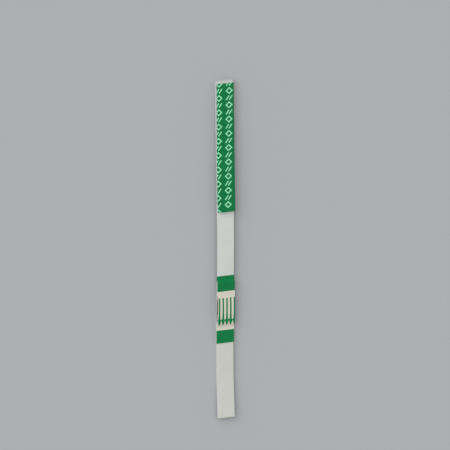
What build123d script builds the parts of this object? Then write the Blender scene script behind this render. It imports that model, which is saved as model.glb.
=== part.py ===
"""Lateral flow test strip: a laminate of pads, membrane and films on one backing card.

Millimetres. X runs across the strip, Y along it towards the handle end, Z up. The origin is the
middle of the strip, on the bench that it lies on. Every layer is laid on the card in order,
overlaps its neighbour like a shingle, and is cut to the same width, so each is a side profile
in the YZ plane carried across the width. The card is a little bent, as thin strips are, so a
place in a profile is given by its length along the card's underside and its height square to it.
"""

import math
import os
from itertools import accumulate, pairwise

from build123d import *

# Card
strip_width = 4.0
strip_length = 80.0
card_thickness = 0.30  # plastic with its adhesive

# Bend of the card: the tip turns up, and the middle arches between the tape and the handle end
tip_lift = 0.65
tip_bend = 9.0  # from the sample end
tape_bend = 23.7
arch_top = 38.3
arch_height = 1.09  # before its top is rounded
tip_bend_radius = 55.0
tape_bend_radius = 55.0
arch_radius = 180.0

# Pads and membrane, from the sample end to the handle end
sample_pad_length = 24.8
sample_pad_thickness = 0.60
sample_overlap = 1.8  # sample pad on the conjugate pad
conjugate_pad_length = 9.3
conjugate_pad_thickness = 0.50
conjugate_overlap = 1.2  # conjugate pad on the membrane
membrane_length = 20.0
membrane_thickness = 0.20
absorbent_overlap = 1.83  # absorbent pad on the membrane
absorbent_pad_thickness = 1.10

# How far a layer takes to come down over the end of what lies under it
membrane_drape = 0.5
pad_drape = 1.6
tape_bridge = 1.1

# Films
tape_length = 16.32
tape_lap = 1.735  # marker tape past the conjugate pad, on the membrane
tape_thickness = 0.08
handle_film_margin = 0.4  # left bare at the handle end
handle_film_thickness = 0.08

# Print
ink_thickness = 0.02
band_margin = 0.1  # tape left bare beyond the lower band
lower_band_length = 3.09
upper_band_length = 3.65
arrow_gap = 1.2  # from the lower band to the arrows' tips
arrow_length = 6.61
arrow_tip_width = 0.08
arrow_head_length = 1.35
arrow_head_width = 0.9
arrow_tail_width = 0.32
arrow_neck_width = 0.46
arrow_neck_length = 0.15
arrow_pitch = 0.927
first_arrow = 0.255  # from the tape's left edge
mark_pitch = 3.35  # along the handle
mark_column_pitch = 2.52
mark_columns = 2
mark_columns_shift = -0.70  # the film isn't cut square to its print
mark_skew = -1.4
diamond_width = 1.8
diamond_height = 1.65
mark_stroke = 0.25
dash_length = 1.3
dash_slant = 35
dash_pitch = 0.75

# The card's underside, seen from the side
with BuildLine() as underside_line:
    FilletPolyline(
        (-strip_length / 2, tip_lift),
        (-strip_length / 2 + tip_bend, 0),
        (-strip_length / 2 + tape_bend, 0),
        (-strip_length / 2 + arch_top, arch_height),
        (strip_length / 2, 0),
        radius=[tip_bend_radius, tape_bend_radius, arch_radius],
    )
card_line = underside_line.wire()
bend_ends = list(accumulate(edge.length for edge in card_line.order_edges()))

# Stations along the card, from the sample end
sample_start = 0
sample_end = sample_start + sample_pad_length
conjugate_start = sample_end - sample_overlap
conjugate_end = conjugate_start + conjugate_pad_length
membrane_start = conjugate_end - conjugate_overlap
membrane_end = membrane_start + membrane_length
absorbent_start = membrane_end - absorbent_overlap
absorbent_end = card_line.length
film_end = absorbent_end - handle_film_margin
tape_end = conjugate_end + tape_lap
tape_start = tape_end - tape_length

# Heights above the card's underside
card_top = card_thickness
membrane_top = card_top + membrane_thickness
conjugate_top = card_top + conjugate_pad_thickness
sample_top = card_top + sample_pad_thickness
absorbent_top = card_top + absorbent_pad_thickness


def card_way(along):
    """The card's direction at a station."""
    return card_line.tangent_at(along, PositionMode.LENGTH)


def on_card(along, above):
    """The place at a station, square above the card's underside."""
    way = card_way(along)
    return card_line.position_at(along, PositionMode.LENGTH) + Vector(-way.Y, way.X) * above


def level_line(start, end, above):
    """A line at one height, which bends with the card."""
    stops = [start, *(stop for stop in bend_ends if start < stop < end), end]
    for near, far in pairwise(stops):
        if card_way(near).get_angle(card_way(far)) < 0.001:
            Line(on_card(near, above), on_card(far, above))
        else:
            ThreePointArc(*(on_card(stop, above) for stop in (near, (near + far) / 2, far)))


def drape(start, end):
    """Two equal arcs from one height to another, along the card at both ends."""
    middle = on_card((start[0] + end[0]) / 2, (start[1] + end[1]) / 2)
    first = TangentArc(on_card(*start), middle, tangent=card_way(start[0]))
    TangentArc(middle, on_card(*end), tangent=first % 1)


def laid_line(levels):
    """A line through level stretches and the drapes between them."""
    for start, end in pairwise(levels):
        if start[1] == end[1]:
            level_line(start[0], end[0], start[1])
        else:
            drape(start, end)


def pad_profile(underside, top):
    """A pad's side view, between the levels of its underside and its top."""
    with BuildSketch(Plane.YZ) as profile:
        with BuildLine():
            laid_line(underside)
            laid_line(top)
            Line(on_card(*underside[0]), on_card(*top[0]))
            Line(on_card(*underside[-1]), on_card(*top[-1]))
        make_face()
    return profile.sketch


def even_profile(underside, thickness):
    """The side view of a layer whose top repeats its underside."""
    return pad_profile(underside, [(along, above + thickness) for along, above in underside])


def laid_film(underside, thickness):
    """A film's side outline, of even thickness square to its surface."""
    with BuildLine() as line:
        laid_line(underside)
    return line.wire().offset_2d(thickness, side=Side.LEFT).edges()


def film_profile(underside, thickness):
    """A film's side view."""
    with BuildSketch(Plane.YZ) as profile:
        make_face(laid_film(underside, thickness))
    return profile.sketch


def ink_profile(underside, film_thickness):
    """The side view of a sheet of ink all over a film."""
    with BuildSketch(Plane.YZ) as profile:
        make_face(laid_film(underside, film_thickness + ink_thickness))
        make_face(laid_film(underside, film_thickness), mode=Mode.SUBTRACT)
    return profile.sketch


# Each underside, from the sample end to the handle end
card_underside = [(sample_start, 0), (absorbent_end, 0)]
membrane_underside = [(membrane_start, card_top), (membrane_end, card_top)]
sample_underside = [
    (sample_start, card_top),
    (conjugate_start - pad_drape, card_top),
    (conjugate_start, conjugate_top),
    (sample_end, conjugate_top),
]
conjugate_underside = [
    (conjugate_start, card_top),
    (membrane_start - membrane_drape, card_top),
    (membrane_start, membrane_top),
    (conjugate_end, membrane_top),
]
absorbent_underside = [
    (absorbent_start, membrane_top),
    (membrane_end, membrane_top),
    (membrane_end + membrane_drape, card_top),
    (absorbent_end, card_top),
]
absorbent_upper = [(absorbent_start, absorbent_top), (absorbent_end, absorbent_top)]  # pressed level
tape_underside = [
    (tape_start, sample_top),
    (conjugate_start - pad_drape, sample_top),
    (conjugate_start, conjugate_top + sample_pad_thickness),
    (sample_end, conjugate_top + sample_pad_thickness),
    (membrane_start, membrane_top + conjugate_pad_thickness),
    (conjugate_end, membrane_top + conjugate_pad_thickness),
    (conjugate_end + tape_bridge, membrane_top),
    (tape_end, membrane_top),
]
film_underside = [(absorbent_start, absorbent_top), (film_end, absorbent_top)]

with BuildPart() as backing_card:
    extrude(even_profile(card_underside, card_thickness), strip_width / 2, both=True)

with BuildPart() as membrane:
    extrude(even_profile(membrane_underside, membrane_thickness), strip_width / 2, both=True)

with BuildPart() as conjugate_pad:
    extrude(even_profile(conjugate_underside, conjugate_pad_thickness), strip_width / 2, both=True)

with BuildPart() as sample_pad:
    extrude(even_profile(sample_underside, sample_pad_thickness), strip_width / 2, both=True)

with BuildPart() as absorbent_pad:
    extrude(pad_profile(absorbent_underside, absorbent_upper), strip_width / 2, both=True)

with BuildPart() as marker_tape:
    extrude(film_profile(tape_underside, tape_thickness), strip_width / 2, both=True)

with BuildPart() as handle_film:
    extrude(film_profile(film_underside, handle_film_thickness), strip_width / 2, both=True)

# Artwork, drawn flat as seen from above
lower_band_start = tape_start + band_margin
lower_band_end = lower_band_start + lower_band_length
upper_band_start = tape_end - upper_band_length
arrow_tip = lower_band_end + arrow_gap
arrow_count = math.floor((strip_width - first_arrow + arrow_head_width / 2) / arrow_pitch) + 1
above_everything = arch_height + membrane_top + absorbent_top


def seen_at(along):
    """A station's place along Y, as seen from above."""
    return on_card(along, conjugate_top).X


with BuildSketch() as lower_band_artwork:
    with Locations((0, seen_at(lower_band_start))):
        Rectangle(strip_width, lower_band_length, align=(Align.CENTER, Align.MIN))

with BuildSketch() as upper_band_artwork:
    with Locations((0, seen_at(upper_band_start))):
        Rectangle(strip_width, upper_band_length + tape_lap, align=(Align.CENTER, Align.MIN))

with BuildSketch() as arrow:
    with BuildLine():
        Polyline(
            (0, 0),
            (arrow_tip_width / 2, 0),
            (arrow_head_width / 2, arrow_head_length),
            (arrow_neck_width / 2, arrow_head_length + arrow_neck_length),
            (arrow_tail_width / 2, arrow_length),
            (0, arrow_length),
        )
        mirror(about=Plane.YZ)
    make_face()

with BuildSketch() as arrow_artwork:
    for number in range(arrow_count):
        across = first_arrow - strip_width / 2 + number * arrow_pitch
        with Locations((across, seen_at(arrow_tip))):
            add(arrow.sketch)

with BuildSketch() as handle_mark:
    with BuildLine():
        Polyline(
            (diamond_width / 2, 0),
            (0, diamond_height / 2),
            (-diamond_width / 2, 0),
            (0, -diamond_height / 2),
            close=True,
        )
    make_face()
    offset(amount=-mark_stroke, kind=Kind.INTERSECTION, mode=Mode.SUBTRACT)
    with Locations((0, mark_pitch / 2)):
        with GridLocations(dash_pitch, 0, 2, 1):
            SlotOverall(dash_length, mark_stroke, rotation=90 - dash_slant)

mark_rows = math.floor((film_end - absorbent_start) / mark_pitch) + 1
with BuildSketch() as handle_artwork:
    handle_middle = seen_at((absorbent_start + film_end) / 2)
    with Locations(Location((mark_columns_shift, handle_middle), mark_skew)):
        for column in range(mark_columns):
            across = (column - (mark_columns - 1) / 2) * mark_column_pitch
            with Locations((across, column * mark_pitch / 2)):
                with GridLocations(0, mark_pitch, 1, mark_rows):
                    add(handle_mark.sketch)
    Rectangle(strip_width, 2 * strip_length, mode=Mode.INTERSECT)
whole_marks = [mark for mark in handle_artwork.faces() if mark.area > mark_stroke**2]

# Print: each artwork cut out of a sheet of ink that follows its film
tape_ink = ink_profile(tape_underside, tape_thickness)
film_ink = ink_profile(film_underside, handle_film_thickness)

with BuildPart() as lower_band_print:
    extrude(tape_ink, strip_width / 2, both=True)
    extrude(lower_band_artwork.sketch, above_everything, mode=Mode.INTERSECT)

with BuildPart() as upper_band_print:
    extrude(tape_ink, strip_width / 2, both=True)
    extrude(upper_band_artwork.sketch, above_everything, mode=Mode.INTERSECT)

with BuildPart() as arrow_print:
    extrude(tape_ink, strip_width / 2, both=True)
    extrude(arrow_artwork.sketch, above_everything, mode=Mode.INTERSECT)

with BuildPart() as handle_marks_print:
    extrude(film_ink, strip_width / 2, both=True)
    extrude(whole_marks, above_everything, mode=Mode.INTERSECT)

pieces = {
    "backing_card": backing_card,
    "membrane": membrane,
    "conjugate_pad": conjugate_pad,
    "sample_pad": sample_pad,
    "absorbent_pad": absorbent_pad,
    "marker_tape": marker_tape,
    "handle_film": handle_film,
    "lower_band_print": lower_band_print,
    "upper_band_print": upper_band_print,
    "arrow_print": arrow_print,
    "handle_marks_print": handle_marks_print,
}

os.makedirs("parts", exist_ok=True)
for name, piece in pieces.items():
    piece.part.label = name
    export_step(piece.part, f"parts/{name}.step")
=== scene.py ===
import math

import bmesh
import bpy
import numpy as np
from mathutils import Matrix, Vector


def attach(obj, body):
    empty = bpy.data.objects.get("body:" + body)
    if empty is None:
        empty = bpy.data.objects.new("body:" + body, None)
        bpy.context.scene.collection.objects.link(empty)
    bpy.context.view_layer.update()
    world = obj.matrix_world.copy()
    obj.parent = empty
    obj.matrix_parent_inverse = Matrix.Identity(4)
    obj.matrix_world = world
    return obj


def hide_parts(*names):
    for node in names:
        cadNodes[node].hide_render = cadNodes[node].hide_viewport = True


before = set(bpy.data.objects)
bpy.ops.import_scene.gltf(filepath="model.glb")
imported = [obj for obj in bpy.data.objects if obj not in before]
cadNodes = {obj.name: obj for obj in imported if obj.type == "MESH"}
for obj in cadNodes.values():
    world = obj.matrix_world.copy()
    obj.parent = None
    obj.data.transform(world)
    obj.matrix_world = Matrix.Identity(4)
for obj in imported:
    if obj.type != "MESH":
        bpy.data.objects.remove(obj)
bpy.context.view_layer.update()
mm = 0.001
print("strip loaded:", len(cadNodes), "solids")

# the card and its bend, in millimetres
card = {
    "halfWidth": 2.0,
    "thickness": 0.30,
    "corners": [(-40.0, 0.65), (-31.0, 0.0), (-16.3, 0.0), (-1.7, 1.09), (40.0, 0.0)],  # Y, Z
    "radii": [55.0, 55.0, 180.0],
    "stops": 8001,
}


def bendTable(shape):
    # straight runs joined by arcs: the heading is level on a run and turns evenly on an arc
    corners = np.array(shape["corners"])
    runs = np.diff(corners, axis=0)
    headings = np.arctan2(runs[:, 1], runs[:, 0])
    turns = np.diff(headings)
    radii = np.array(shape["radii"])
    cut = radii * np.tan(np.abs(turns) / 2)
    straight = np.hypot(runs[:, 0], runs[:, 1]) - np.append(cut, 0) - np.append(0, cut)
    arcs = radii * np.abs(turns)
    lengths = np.empty(len(straight) + len(arcs))
    lengths[0::2] = straight
    lengths[1::2] = arcs
    stops = np.append(0, np.cumsum(lengths))
    along = np.linspace(0, stops[-1], shape["stops"])
    heading = np.interp(along, stops, np.repeat(headings, 2))
    middle = (heading[1:] + heading[:-1]) / 2
    step = np.diff(along)
    y = corners[0, 0] + np.append(0, np.cumsum(step * np.cos(middle)))
    z = corners[0, 1] + np.append(0, np.cumsum(step * np.sin(middle)))
    return along, heading, y, z


bendAlong, bendHeading, bendY, bendZ = bendTable(card)
stripLength = bendAlong[-1]
print("card bend worked out:", round(float(stripLength), 3), "mm along the card")


def onCard(along, above):
    # a place at a length along the card and a height square to it
    heading = np.interp(along, bendAlong, bendHeading)
    y = np.interp(along, bendAlong, bendY) - np.sin(heading) * above
    z = np.interp(along, bendAlong, bendZ) + np.cos(heading) * above
    return y, z


def seenAt(along, above):
    # a station's place along Y
    return float(onCard(along, above)[0])


def laidHeight(along, levels):
    # level stretches, and between two heights a pair of equal arcs
    along = np.asarray(along, float)
    height = np.full(along.shape, float(levels[0][1]))
    for (startAt, startUp), (endAt, endUp) in zip(levels[:-1], levels[1:]):
        inside = (along >= startAt) & (along <= endAt)
        run = (endAt - startAt) / 2
        rise = (endUp - startUp) / 2
        if rise == 0:
            height[inside] = startUp
            continue
        radius = (run * run + rise * rise) / (2 * abs(rise))
        here = along[inside] - startAt
        first = np.minimum(here, run)
        second = np.minimum(2 * run - here, run)
        up = np.where(
            here <= run,
            radius - np.sqrt(radius * radius - first * first),
            2 * abs(rise) - radius + np.sqrt(radius * radius - second * second),
        )
        height[inside] = startUp + np.sign(rise) * up
    height[along > levels[-1][0]] = levels[-1][1]
    return height


# the layers' stations, from the sample end
sampleStart, sampleEnd = 0.0, 24.8
conjugateStart, conjugateEnd = 23.0, 32.3
membraneStart, membraneEnd = 31.1, 51.1
wickStart, wickEnd = 49.27, stripLength
filmStart, filmEnd = wickStart, stripLength - 0.4
tapeStart, tapeEnd = 17.715, 34.035

# how thick the pads are, and how far a layer takes to come down over the end of what lies under it
thick = {"membrane": 0.20, "conjugate": 0.50, "sample": 0.60, "wick": 1.10}
drape = {"membrane": 0.5, "pad": 1.6, "tape": 1.1}

cardTop = card["thickness"]
membraneTop = cardTop + thick["membrane"]
conjugateTop = cardTop + thick["conjugate"]
sampleTop = cardTop + thick["sample"]
wickTop = cardTop + thick["wick"]

membraneLevels = [(membraneStart, cardTop), (membraneEnd, cardTop)]
sampleLevels = [
    (sampleStart, cardTop),
    (conjugateStart - drape["pad"], cardTop),
    (conjugateStart, conjugateTop),
    (sampleEnd, conjugateTop),
]
conjugateLevels = [
    (conjugateStart, cardTop),
    (membraneStart - drape["membrane"], cardTop),
    (membraneStart, membraneTop),
    (conjugateEnd, membraneTop),
]
wickLevels = [
    (wickStart, membraneTop),
    (membraneEnd, membraneTop),
    (membraneEnd + drape["membrane"], cardTop),
    (wickEnd, cardTop),
]
tapeLevels = [
    (tapeStart, sampleTop),
    (conjugateStart - drape["pad"], sampleTop),
    (conjugateStart, conjugateTop + thick["sample"]),
    (sampleEnd, conjugateTop + thick["sample"]),
    (membraneStart, membraneTop + thick["conjugate"]),
    (conjugateEnd, membraneTop + thick["conjugate"]),
    (conjugateEnd + drape["tape"], membraneTop),
    (tapeEnd, membraneTop),
]
filmLevels = [(filmStart, wickTop), (filmEnd, wickTop)]

waveForms = ((1.0, 1.0, 1.0), (0.6, 2.3, 2.1), (0.35, 5.1, 3.7))  # size, rate, share of the start


def wander(along, size, period, start):
    # three sine waves of unlike length: an edge cut by hand is never quite straight
    phase = 2 * np.pi * np.asarray(along) / period
    waves = sum(part * np.sin(rate * phase + share * start) for part, rate, share in waveForms)
    return size * waves / sum(part for part, rate, share in waveForms)


sharpFrom = math.radians(40)


def newPiece(name, points, faces, slot):
    mesh = bpy.data.meshes.new(name)
    mesh.from_pydata((np.asarray(points) * mm).tolist(), [], faces)
    mesh.polygons.foreach_set("use_smooth", np.ones(len(mesh.polygons), bool))
    mesh.set_sharp_from_angle(angle=sharpFrom)
    mesh.update()
    piece = bpy.data.objects.new(name, mesh)
    bpy.context.scene.collection.objects.link(piece)
    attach(piece, "root")
    return piece


def shellMesh(name, stacks, slot):
    # every stack is rings x points x 3: quads run from ring to ring, and the end rings are closed
    points = []
    faces = []
    offset = 0
    for stack in stacks:
        rings, around = stack.shape[:2]
        index = offset + np.arange(rings * around).reshape(rings, around)
        shifted = np.roll(index, -1, axis=1)
        quads = np.stack([index[:-1], shifted[:-1], shifted[1:], index[1:]], axis=-1).reshape(-1, 4)
        caps = [index[0][::-1], index[-1]]
        flat = stack.reshape(-1, 3)
        # a quad's two triangles span a volume with the origin: the sum is below nought if faces point in
        a, b, c, d = (flat[quads[:, corner] - offset] for corner in range(4))
        if (a * np.cross(b, c)).sum() + (a * np.cross(c, d)).sum() < 0:
            quads = quads[:, ::-1]
            caps = [cap[::-1] for cap in caps]
        points.append(flat)
        faces.extend(quads.tolist() + [cap.tolist() for cap in caps])
        offset += rings * around
    return newPiece(name, np.concatenate(points), faces, slot)


padShape = {
    "cornerSteps": 4,
    "leastRings": 4,
    "leftStart": 4.1,
    "rightStart": 1.3,
    "topStart": 0.7,
    "topSlant": 0.9,  # the unevenness of a top runs across at a slant
    "topPeriod": 2.4,  # times the sides' period
    "sidePower": 8,  # only the outermost points take part in a side's wander
    "topPower": 4,
}


def roundedSection(height, corner, across, upright):
    # a rectangle with quarter-circle corners, walked once round: top, right, bottom, left
    halfWidth = card["halfWidth"]
    angle = np.linspace(0, np.pi / 2, padShape["cornerSteps"] + 1)[1:-1]
    top = np.linspace(-halfWidth + corner, halfWidth - corner, across)
    side = np.linspace(height - corner, corner, upright)
    turnX = halfWidth - corner + corner * np.sin(angle)
    turnH = height - corner + corner * np.cos(angle)
    x = np.concatenate([top, turnX, np.full(upright, halfWidth), turnX[::-1]])
    h = np.concatenate([np.full(across, height), turnH, side, height - turnH[::-1]])
    return np.concatenate([x, -x]), np.concatenate([h, height - h])


def endRings(levels, corner, step):
    # even rings, and at each cut end a quarter circle: the ring draws in as it nears the end
    start, end = levels[0][0], levels[-1][0]
    quarter = np.linspace(0, np.pi / 2, padShape["cornerSteps"] + 1)
    out = corner * (1 - np.cos(quarter))
    draw = corner * (1 - np.sin(quarter))
    rings = max(int((end - start) / step), padShape["leastRings"])
    inner = np.linspace(start + corner, end - corner, rings)[1:-1]
    along = np.concatenate([start + out, inner, end - out[::-1]])
    inset = np.concatenate([draw, np.zeros(len(inner)), draw[::-1]])
    return along, inset[:, None]


def padStack(levels, look, pressedTo=None):
    # a rounded section carried along the card: its sides wander a little, and its top is a little uneven
    halfWidth, thickness, half = card["halfWidth"], look["thickness"], look["thickness"] / 2
    sideWander, topWander, period = look["sideWander"], look["topWander"], look["wanderPeriod"]
    along, inset = endRings(levels, look["corner"], look["step"])
    x, h = roundedSection(thickness, look["corner"], look["across"], look["upright"])
    xs = x * (1 - inset / halfWidth)
    hs = half + (h - half) * (1 - inset / half)
    nearSide = np.sign(x) * np.abs(x / halfWidth) ** padShape["sidePower"]
    left = wander(along, sideWander, period, padShape["leftStart"])[:, None]
    right = wander(along, sideWander, period, padShape["rightStart"])[:, None]
    xs = xs + nearSide * (np.where(x > 0, right, left) - sideWander)
    slanted = along[:, None] + padShape["topSlant"] * x
    uneven = wander(slanted, topWander, padShape["topPeriod"] * period, padShape["topStart"])
    hs = hs + (h / thickness) ** padShape["topPower"] * (uneven - topWander)
    under = laidHeight(along, levels)[:, None] + look["lift"]
    if pressedTo is not None:
        hs = hs * (pressedTo - under) / thickness
    y, z = onCard(along[:, None], under + hs)
    return np.stack([xs, y, z], axis=-1)


sheetShape = {
    "lineStep": 0.02,
    "gap": 0.002,  # between a film and what it lies on
    "curl": 0.9,
    "waveFade": 0.6,  # a wavy end is straight again this far on
    "wavePeriod": 1.7,
    "waveStart": 2.2,
}


def filmLine(levels, lift):
    # the line that a film follows, seen from the side, moved out square to itself
    step = sheetShape["lineStep"]
    along = np.arange(levels[0][0], levels[-1][0] + step / 2, step)
    y, z = onCard(along, laidHeight(along, levels))
    slopeY, slopeZ = np.gradient(y), np.gradient(z)
    length = np.hypot(slopeY, slopeZ)
    return y - lift * slopeZ / length, z + lift * slopeY / length


def sheetHeight(levels, lift, x, y):
    # where a sheet stands out past the card's sides it curls down, as the square of how far it stands out
    out = np.maximum(np.abs(x) - card["halfWidth"], 0)
    return np.interp(y, *filmLine(levels, lift)) - sheetShape["curl"] * out**2


def sheetStack(levels, low, high, rows, left, right, across, endWave=0.0):
    # a thin sheet between two lines: its long edges are given row by row, and its lower end may be wavy
    x = left[:, None] + (right - left)[:, None] * np.linspace(0, 1, across)
    fade = np.clip(1 - (rows - rows[0]) / sheetShape["waveFade"], 0, 1)[:, None]
    wave = wander(x, 1.0, sheetShape["wavePeriod"], sheetShape["waveStart"]) + 1
    y = rows[:, None] + fade * endWave * wave
    front = np.stack([x, y, sheetHeight(levels, high, x, y)], axis=-1)
    back = np.stack([x, y, sheetHeight(levels, low, x, y)], axis=-1)[:, ::-1]
    return np.concatenate([front, back], axis=1)


# materials: every pattern reads millimetres, so its size is the real one


def wire(tree, source, output, target, socket):
    tree.links.new(source.outputs[output], target.inputs[socket])


def addNode(tree, kind, values=None, **settings):
    node = tree.nodes.new(kind)
    for name, value in settings.items():
        setattr(node, name, value)
    for socket, value in (values or {}).items():
        node.inputs[socket].default_value = value
    return node


def stretched(tree, spread, turn):
    # object coordinates in millimetres, squeezed along each axis and turned about the upright
    place = addNode(tree, "ShaderNodeTexCoord")
    mapping = addNode(tree, "ShaderNodeMapping", {"Rotation": (0, 0, math.radians(turn))})
    mapping.inputs["Scale"].default_value = tuple(amount / mm for amount in spread)
    wire(tree, place, "Object", mapping, "Vector")
    return mapping


def noise(tree, spread, detail, turn=0.0):
    texture = addNode(tree, "ShaderNodeTexNoise", {"Scale": 1.0, "Detail": detail, "Roughness": 0.6})
    wire(tree, stretched(tree, spread, turn), "Vector", texture, "Vector")
    return texture


def ranged(tree, source, spread, low, high):
    # where the source lies in its own spread becomes a place between low and high
    values = {"From Min": spread[0], "From Max": spread[1], "To Min": low, "To Max": high}
    node = addNode(tree, "ShaderNodeMapRange", values)
    wire(tree, source, 0, node, "Value")
    return node


def combined(tree, first, second, operation):
    node = addNode(tree, "ShaderNodeMath", operation=operation)
    wire(tree, first, 0, node, 0)
    wire(tree, second, 0, node, 1)
    return node


def startMaterial(name, look):
    material = bpy.data.materials.new(name)
    material.use_nodes = True
    tree = material.node_tree
    shader = tree.nodes["Principled BSDF"]
    shader.inputs["IOR"].default_value = 1.46
    shader.inputs["Specular IOR Level"].default_value = look.get("specular", 0.5)
    shader.inputs["Sheen Weight"].default_value = look.get("sheen", 0.0)
    shader.inputs["Sheen Roughness"].default_value = 0.5
    return material, tree, shader


def tinted(tree, shader, factor, look):
    # the colour runs between the piece's two tones
    mix = addNode(tree, "ShaderNodeMix", data_type="RGBA")
    mix.inputs[6].default_value = (*look["colour"], 1)
    mix.inputs[7].default_value = (*look["deep"], 1)
    wire(tree, factor, 0, mix, 0)
    wire(tree, mix, 2, shader, "Base Color")


def bumped(tree, shader, height, depth):
    bump = addNode(tree, "ShaderNodeBump", {"Distance": depth * mm, "Strength": 1.0})
    wire(tree, height, 0, bump, "Height")
    wire(tree, bump, "Normal", shader, "Normal")


noiseSpread = (0.3, 0.7)  # where nearly all of a noise's values lie
feltSpread = (0.2, 0.5)  # and those of the felt, a product of noises
grainSpread = (0.1, 0.5)  # and those of the grain times the lines
fibreNoise = {"detail": 4.0, "crossDetail": 3.0, "crossLong": 1.5, "crossLay": 9.0, "cloudDetail": 3.0}
smoothNoise = {"mottleDetail": 4.0, "grainDetail": 3.0, "linesDetail": 2.0, "linesAlong": 0.03}


def fibreMaterial(name, look):
    # two lays of long thin noise at an angle are the fibres; a broad noise is the cloudiness of the felt
    material, tree, shader = startMaterial(name, look)
    long, fine = look["fibreLong"], look["fibreFine"]
    first = noise(tree, (fine, long, fine), fibreNoise["detail"], look["lay"])
    second = noise(tree, (fine, long, fine), fibreNoise["detail"], -look["lay"])
    crossSpread = (long * fibreNoise["crossLong"], fine, fine)
    cross = noise(tree, crossSpread, fibreNoise["crossDetail"], fibreNoise["crossLay"])
    cloud = noise(tree, (look["cloud"],) * 3, fibreNoise["cloudDetail"])
    felt = combined(tree, combined(tree, first, second, "MAXIMUM"), cross, "MULTIPLY")
    fibreTone = ranged(tree, felt, feltSpread, look["fibreTone"], 0.0)
    cloudTone = ranged(tree, cloud, noiseSpread, 0.0, look["cloudTone"])
    tinted(tree, shader, combined(tree, fibreTone, cloudTone, "ADD"), look)
    wire(tree, ranged(tree, felt, feltSpread, *look["roughness"]), 0, shader, "Roughness")
    bumped(tree, shader, felt, look["depth"])
    return material


def smoothMaterial(name, look):
    # a broad mottle for the colour, a fine grain for the sheen, and faint lines along the strip
    material, tree, shader = startMaterial(name, look)
    lines = look["lines"]
    mottle = noise(tree, (look["mottle"],) * 3, smoothNoise["mottleDetail"])
    grain = noise(tree, (look["grain"],) * 3, smoothNoise["grainDetail"])
    drawn = noise(tree, (lines, lines * smoothNoise["linesAlong"], lines), smoothNoise["linesDetail"])
    mottleTone = ranged(tree, mottle, noiseSpread, 0.0, look["mottleTone"])
    lineTone = ranged(tree, drawn, noiseSpread, 0.0, look["lineTone"])
    tinted(tree, shader, combined(tree, mottleTone, lineTone, "ADD"), look)
    sheen = combined(tree, grain, drawn, "MULTIPLY")
    wire(tree, ranged(tree, sheen, grainSpread, *look["roughness"]), 0, shader, "Roughness")
    bumped(tree, shader, combined(tree, grain, drawn, "ADD"), look["depth"])
    return material


def dress(piece, material):
    piece.data.materials.clear()
    piece.data.materials.append(material)


studio = {
    "worldStrength": 0.66,
    "worldColour": (1.0, 1.0, 1.0),
    "sunStrength": 2.05,
    "sunSoftness": 55,
    "sunFrom": (-0.64, 0.50, 0.56),
    "floorColour": (0.40, 0.41, 0.42),
    "floorRoughness": 0.85,
    "floorSpecular": 0.2,
    "floorSide": 1.5,  # metres to each side
    "floorLevel": -0.00001,
}

cameraView = {
    "lens": 1200.0,
    "sensor": 36.0,
    "frameWidth": 102.93,  # at the strip
    "rise": 15.93,
    "turn": 22.08,
    "roll": 0.24,
    "aim": (0.851, 5.172, -1.248),
}


def makeCamera(look):
    rise, turn, roll = (math.radians(look[key]) for key in ("rise", "turn", "roll"))
    back = Vector((-math.cos(rise) * math.sin(turn), math.sin(rise), math.cos(rise) * math.cos(turn)))
    right = Vector((math.cos(turn), 0, math.sin(turn)))
    up = back.cross(right)
    right, up = (
        right * math.cos(roll) - up * math.sin(roll),
        right * math.sin(roll) + up * math.cos(roll),
    )
    distance = look["frameWidth"] * look["lens"] / look["sensor"]
    place = (Vector(look["aim"]) + back * distance) * mm
    data = bpy.data.cameras.new("stripCamera")
    data.lens = look["lens"]
    data.sensor_width = look["sensor"]
    data.clip_start = 0.02
    data.clip_end = 20
    camera = bpy.data.objects.new("stripCamera", data)
    bpy.context.scene.collection.objects.link(camera)
    camera.matrix_world = Matrix(
        (
            (right.x, up.x, back.x, place.x),
            (right.y, up.y, back.y, place.y),
            (right.z, up.z, back.z, place.z),
            (0, 0, 0, 1),
        )
    )
    bpy.context.scene.camera = camera


def makeStudio(look):
    scene = bpy.context.scene
    scene.view_settings.view_transform = "Standard"
    world = bpy.data.worlds.new("studioLight")
    scene.world = world
    world.use_nodes = True
    sky = world.node_tree.nodes["Background"]
    sky.inputs["Color"].default_value = (*look["worldColour"], 1)
    sky.inputs["Strength"].default_value = look["worldStrength"]
    sun = bpy.data.lights.new("softLamp", "SUN")
    sun.energy = look["sunStrength"]
    sun.angle = math.radians(look["sunSoftness"])
    lamp = bpy.data.objects.new("softLamp", sun)
    scene.collection.objects.link(lamp)
    lamp.rotation_mode = "QUATERNION"
    lamp.rotation_quaternion = Vector(look["sunFrom"]).to_track_quat("Z", "Y")
    side, level = look["floorSide"], look["floorLevel"]
    corners = [(x * side, y * side, level) for x, y in ((-1, -1), (1, -1), (1, 1), (-1, 1))]
    mesh = bpy.data.meshes.new("paleFloor")
    mesh.from_pydata(corners, [], [(0, 1, 2, 3)])
    floor = bpy.data.objects.new("paleFloor", mesh)
    scene.collection.objects.link(floor)
    material = bpy.data.materials.new("paleFloor")
    material.use_nodes = True
    shader = material.node_tree.nodes["Principled BSDF"]
    shader.inputs["Base Color"].default_value = (*look["floorColour"], 1)
    shader.inputs["Roughness"].default_value = look["floorRoughness"]
    shader.inputs["Specular IOR Level"].default_value = look["floorSpecular"]
    mesh.materials.append(material)


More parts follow.
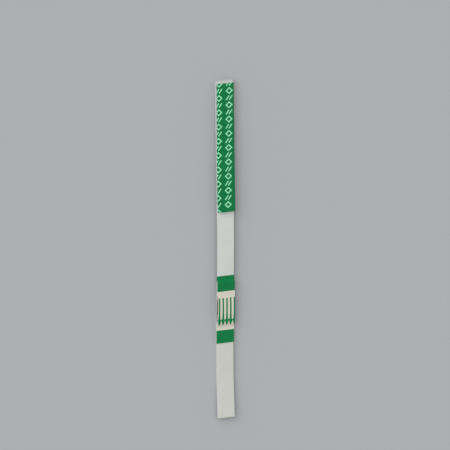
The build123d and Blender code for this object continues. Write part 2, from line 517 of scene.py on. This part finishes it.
# each pad is a hair thinner than its solid, and lifted off what it lies on
samplePad = {
    "thickness": 0.592,
    "lift": 0.004,
    "corner": 0.10,
    "step": 0.20,
    "across": 15,
    "upright": 4,
    "sideWander": 0.012,
    "topWander": 0.010,
    "wanderPeriod": 3.1,
    "colour": (0.610, 0.615, 0.578),
    "deep": (0.525, 0.530, 0.487),
    "fibreLong": 1.6,
    "fibreFine": 14.0,
    "lay": 33.0,
    "fibreTone": 0.75,
    "cloud": 0.55,
    "cloudTone": 0.45,
    "roughness": (0.95, 0.8),
    "depth": 0.018,
    "specular": 0.15,
    "sheen": 0.06,
}
sample = shellMesh("samplePad", [padStack(sampleLevels, samplePad)], "sample_fibre")
dress(sample, fibreMaterial("sampleFibre", samplePad))
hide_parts("sample_pad")

conjugatePad = dict(
    samplePad,
    thickness=0.492,
    corner=0.08,
    wanderPeriod=2.3,
    colour=(0.190, 0.155, 0.130),  # dull dark brown: painted shade, standing for the shadowed gap under the tape's lifted edge
    # the deep tone is just as dark: painted shade too
    deep=(0.090, 0.070, 0.060),
    fibreLong=0.9,
    fibreFine=20.0,
    lay=58.0,
)
conjugate = shellMesh("conjugatePad", [padStack(conjugateLevels, conjugatePad)], "glass_fibre")
dress(conjugate, fibreMaterial("glassFibre", conjugatePad))
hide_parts("conjugate_pad")

wickPad = dict(
    samplePad,
    thickness=1.096,
    corner=0.13,
    upright=7,
    sideWander=0.018,
    wanderPeriod=3.9,
    colour=(0.600, 0.610, 0.585),
    deep=(0.470, 0.485, 0.450),
    fibreLong=2.4,
    fibreFine=17.0,
    lay=14.0,
    depth=0.024,
)
wickLevel = wickTop - wickPad["lift"]  # its top is level, so the film presses it thinner over the membrane
wick = shellMesh("absorbentPad", [padStack(wickLevels, wickPad, wickLevel)], "wick_fibre")
dress(wick, fibreMaterial("wickFibre", wickPad))
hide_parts("absorbent_pad")

membraneStrip = {
    "thickness": 0.194,
    "lift": 0.003,
    "corner": 0.045,
    "step": 0.25,
    "across": 15,
    "upright": 3,
    "sideWander": 0.008,
    "topWander": 0.004,
    "wanderPeriod": 5.2,
    "colour": (0.590, 0.615, 0.580),
    "deep": (0.520, 0.550, 0.510),
    "mottle": 0.35,
    "mottleTone": 0.5,
    "grain": 16.0,
    "lines": 3.0,
    "lineTone": 0.35,
    "roughness": (0.62, 0.85),
    "depth": 0.004,
    "specular": 0.25,
}
membrane = shellMesh("membraneSheet", [padStack(membraneLevels, membraneStrip)], "white_membrane")
dress(membrane, smoothMaterial("whiteMembrane", membraneStrip))
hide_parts("membrane")
print("pads and membrane laid")

markerTape = {
    "thickness": 0.08,
    "leftOut": [  # Y, past the left edge
        (-22.3, 0.26),
        (-18.8, 0.26),
        (-17.2, 0.09),
        (-12.0, 0.09),
        (-10.0, 0.26),
    ],
    "rightOut": [(-19.0, 0.05), (-17.4, 0.10), (-11.5, 0.10), (-9.8, 0.05)],
    "leftWave": (0.015, 4.3, 0.4),  # size, period, start
    "rightWave": (0.015, 3.7, 2.6),
    "step": 0.10,
    "across": 13,
    "colour": (0.620, 0.600, 0.515),
    "deep": (0.560, 0.535, 0.450),
    "mottle": 0.5,
    "mottleTone": 0.5,
    "grain": 24.0,
    "lines": 5.0,
    "lineTone": 0.3,
    "roughness": (0.38, 0.55),
    "depth": 0.002,
}


def tapeSides(y):
    # the card's edges, moved out by what is given at each place along the strip
    leftOut = np.interp(y, *zip(*markerTape["leftOut"]))
    rightOut = np.interp(y, *zip(*markerTape["rightOut"]))
    left = -card["halfWidth"] - leftOut + wander(y, *markerTape["leftWave"])
    right = card["halfWidth"] + rightOut + wander(y, *markerTape["rightWave"])
    return left, right


tapeRows = np.arange(seenAt(tapeStart, sampleTop), seenAt(tapeEnd, membraneTop), markerTape["step"])
tapeSheet = sheetStack(
    tapeLevels,
    sheetShape["gap"],
    markerTape["thickness"],
    tapeRows,
    *tapeSides(tapeRows),
    markerTape["across"],
)
tape = shellMesh("markerTape", [tapeSheet], "cream_film")
dress(tape, smoothMaterial("creamFilm", markerTape))
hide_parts("marker_tape")

greenPrint = {
    "thickness": 0.02,
    "lowerBand": (-22.207, -19.117),  # Y, as seen from above
    "upperBand": (-9.708, tapeRows[-1]),
    "bandStep": 0.08,
    "bandAcross": 13,
    "arrowTip": -17.922,
    "arrowCentres": (-1.745, -0.818, 0.109, 1.036, 1.963),
    "arrowShape": [  # from the tip, half its width
        (0.0, 0.02),
        (0.55, 0.26),
        (1.25, 0.455),
        (1.42, 0.455),
        (1.58, 0.25),
        (3.0, 0.18),
        (6.61, 0.178),
    ],
    "arrowStep": 0.1,
    "arrowAcross": 5,
    "colour": (0.0010, 0.186, 0.0540),
    "deep": (0.0005, 0.155, 0.0440),
    "specular": 0.18,
    "mottle": 0.9,
    "mottleTone": 0.6,
    "grain": 30.0,
    "lines": 6.0,
    "lineTone": 0.35,
    "roughness": (0.34, 0.5),
    "depth": 0.0015,
}
greenInk = smoothMaterial("greenInk", greenPrint)


def inkStack(rows, left, right, across):
    low = markerTape["thickness"]
    return sheetStack(tapeLevels, low, low + greenPrint["thickness"], rows, left, right, across)


def bandPiece(name, reach, node):
    rows = np.append(np.arange(*reach, greenPrint["bandStep"]), reach[1])
    band = shellMesh(name, [inkStack(rows, *tapeSides(rows), greenPrint["bandAcross"])], "green_ink")
    dress(band, greenInk)
    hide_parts(node)


bandPiece("lowerBand", greenPrint["lowerBand"], "lower_band_print")
bandPiece("upperBand", greenPrint["upperBand"], "upper_band_print")

shapeAt, shapeHalf = zip(*greenPrint["arrowShape"])
evenRows = np.arange(0, shapeAt[-1], greenPrint["arrowStep"])
arrowRows = np.unique(np.round(np.append(evenRows, shapeAt), 4))
arrowHalf = np.interp(arrowRows, shapeAt, shapeHalf)
arrowY = greenPrint["arrowTip"] + arrowRows
tapeLeft, tapeRight = tapeSides(arrowY)
arrowStacks = []
for centre in greenPrint["arrowCentres"]:
    left = np.maximum(centre - arrowHalf, tapeLeft)
    right = np.minimum(centre + arrowHalf, tapeRight)
    arrowStacks.append(inkStack(arrowY, left, right, greenPrint["arrowAcross"]))
arrows = shellMesh("arrows", arrowStacks, "green_ink")
dress(arrows, greenInk)
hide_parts("arrow_print")
print("marker tape and its print laid")

handleFilm = {
    "thickness": 0.08,
    "leftOut": [  # station, past the left edge
        (49.3, 0.25),
        (52.0, 0.32),
        (61.0, 0.33),
        (68.0, 0.25),
        (80.0, 0.15),
    ],
    "leftWave": (0.015, 5.1, 3.0),
    "rightWave": (0.018, 4.4, 1.1),
    "endWave": 0.035,
    "step": 0.15,
    "across": 25,
    "colour": (0.0020, 0.180, 0.0520),
    "deep": (0.0008, 0.138, 0.0390),
    "specular": 0.20,
    "mottle": 0.7,
    "mottleTone": 0.65,
    "grain": 26.0,
    "lines": 4.0,
    "lineTone": 0.4,
    "roughness": (0.30, 0.48),
    "depth": 0.002,
}


def filmLeft(y):
    station = np.interp(y, bendY, bendAlong)
    leftOut = np.interp(station, *zip(*handleFilm["leftOut"]))
    return -card["halfWidth"] - leftOut + wander(y, *handleFilm["leftWave"])


filmRows = np.arange(seenAt(filmStart, wickTop), seenAt(filmEnd, wickTop), handleFilm["step"])
filmSheet = sheetStack(
    filmLevels,
    sheetShape["gap"],
    handleFilm["thickness"],
    filmRows,
    filmLeft(filmRows),
    card["halfWidth"] + wander(filmRows, *handleFilm["rightWave"]),
    handleFilm["across"],
    handleFilm["endWave"],
)
film = shellMesh("handleFilm", [filmSheet], "green_film")
dress(film, smoothMaterial("greenFilm", handleFilm))
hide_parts("handle_film")

paleMarks = {
    "thickness": 0.02,
    "pitch": 3.35,
    "rows": 10,
    "columns": ((-1.26, 0.0), (1.26, 0.5)),  # across, and how many pitches further on
    "shift": -0.70,  # the film isn't cut square to its print
    "skew": -1.4,
    "diamond": (0.90, 0.825),  # half its width and height
    "stroke": 0.25,
    "dash": 1.3,
    "dashTurn": 55.0,
    "dashPlaces": (-0.375, 0.375),
    "capPoints": 9,
    "leastArea": 0.0625,  # a smaller scrap of a mark is left out
    "drawnOut": 0.33,  # past the left edge, before it's fitted to the film
    "folds": (0.0, 0.07, 0.14, 0.21, 0.27),
    "colour": (0.32, 0.82, 0.50),
    "deep": (0.22, 0.70, 0.38),
    "mottle": 1.5,
    "mottleTone": 0.5,
    "grain": 30.0,
    "lines": 6.0,
    "lineTone": 0.35,
    "roughness": (0.34, 0.5),
    "depth": 0.001,
}


def turned(x, y, degrees):
    angle = math.radians(degrees)
    return x * math.cos(angle) - y * math.sin(angle), x * math.sin(angle) + y * math.cos(angle)


def diamondMark(look):
    # a rhombus with a smaller one cut out: its sides move in by the stroke
    a, b = look["diamond"]
    inner = 1 - look["stroke"] * math.hypot(a, b) / (a * b)
    corners = np.array([(a, 0), (0, b), (-a, 0), (0, -b)])
    sides = [(k, (k + 1) % 4, (k + 1) % 4 + 4, k + 4) for k in range(4)]
    return np.concatenate([corners, corners * inner]), sides


def dashMark(look, across):
    # a stroke with round ends, turned, half a pitch above the diamond
    radius = look["stroke"] / 2
    count = look["capPoints"]
    angle = np.radians(np.concatenate([np.linspace(-90, 90, count), np.linspace(90, 270, count)]))
    end = np.repeat([1, -1], count) * (look["dash"] / 2 - radius)
    x, y = turned(end + radius * np.cos(angle), radius * np.sin(angle), look["dashTurn"])
    return np.stack([x + across, y + look["pitch"] / 2], axis=-1), [range(2 * count)]


def bisected(flat, line, **settings):
    # a line is a place on it and the way square to it
    everything = flat.verts[:] + flat.edges[:] + flat.faces[:]
    bmesh.ops.bisect_plane(flat, geom=everything, plane_co=line[0], plane_no=line[1], **settings)


def trimmedMark(x, y, pattern, cuts, folds):
    # the flat mark gets edges along the folds, and loses what lies past the cuts
    flat = bmesh.new()
    corners = [flat.verts.new((*place, 0)) for place in zip(x, y)]
    for face in pattern:
        flat.faces.new([corners[corner] for corner in face])
    for line in folds:
        bisected(flat, line)
    for line in cuts:
        bisected(flat, line, clear_outer=True)
    flat.verts.index_update()
    area = sum(face.calc_area() for face in flat.faces)
    places = np.array([corner.co[:2] for corner in flat.verts]).reshape(-1, 2)
    loops = [[corner.index for corner in face.verts] for face in flat.faces]
    rim = [edge.link_loops[0] for edge in flat.edges if edge.is_boundary]
    rim = [(loop.vert.index, loop.link_loop_next.vert.index) for loop in rim]
    flat.free()
    return area, places, loops, rim


def marksMesh(look):
    # every mark is laid flat, trimmed to the film, and then set on it as a thin solid
    edge = -card["halfWidth"]
    middle = seenAt((filmStart + filmEnd) / 2, conjugateTop)
    low = handleFilm["thickness"]
    cuts = [
        ((edge - look["drawnOut"], 0, 0), (-1, 0, 0)),
        ((0, filmRows[0] + 2 * handleFilm["endWave"], 0), (0, -1, 0)),
        ((0, filmRows[-1], 0), (0, 1, 0)),
    ]
    folds = [((edge - out, 0, 0), (-1, 0, 0)) for out in look["folds"]]
    shapes = [diamondMark(look)] + [dashMark(look, across) for across in look["dashPlaces"]]
    rowsUp = (np.arange(look["rows"]) - (look["rows"] - 1) / 2) * look["pitch"]
    places = [(across, up + onward * look["pitch"]) for across, onward in look["columns"] for up in rowsUp]
    solids = []
    faces = []
    top = 0
    for place in places:
        for points, pattern in shapes:
            x, y = turned(*(points + place).T, look["skew"])
            area, trimmed, loops, rim = trimmedMark(x + look["shift"], y + middle, pattern, cuts, folds)
            if area < look["leastArea"]:
                continue
            x, y = trimmed.T
            # past the card's edge, the mark is fitted to how far the film stands out there
            x = np.where(x < edge, edge + (x - edge) * (edge - filmLeft(y)) / look["drawnOut"], x)
            under = top + len(x)
            for lift in (low + look["thickness"], low):
                solids.append(np.stack([x, y, sheetHeight(filmLevels, lift, x, y)], axis=-1))
            faces += [[top + corner for corner in loop] for loop in loops]
            faces += [[under + corner for corner in reversed(loop)] for loop in loops]
            faces += [[top + b, top + a, under + a, under + b] for a, b in rim]
            top = under + len(x)
    return np.concatenate(solids), faces


handleMarks = newPiece("handleMarks", *marksMesh(paleMarks), "white_ink")
dress(handleMarks, smoothMaterial("paleInk", paleMarks))
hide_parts("handle_marks_print")

cardSurface = {
    "colour": (0.620, 0.640, 0.610),
    "deep": (0.540, 0.560, 0.525),
    "mottle": 0.4,
    "mottleTone": 0.4,
    "grain": 22.0,
    "lines": 7.0,
    "lineTone": 0.5,
    "roughness": (0.34, 0.52),
    "depth": 0.003,
}
dress(cadNodes["backing_card"], smoothMaterial("whiteCard", cardSurface))
print("handle film, marks and card finished")

makeCamera(cameraView)
makeStudio(studio)
print("camera, lamp and floor placed")
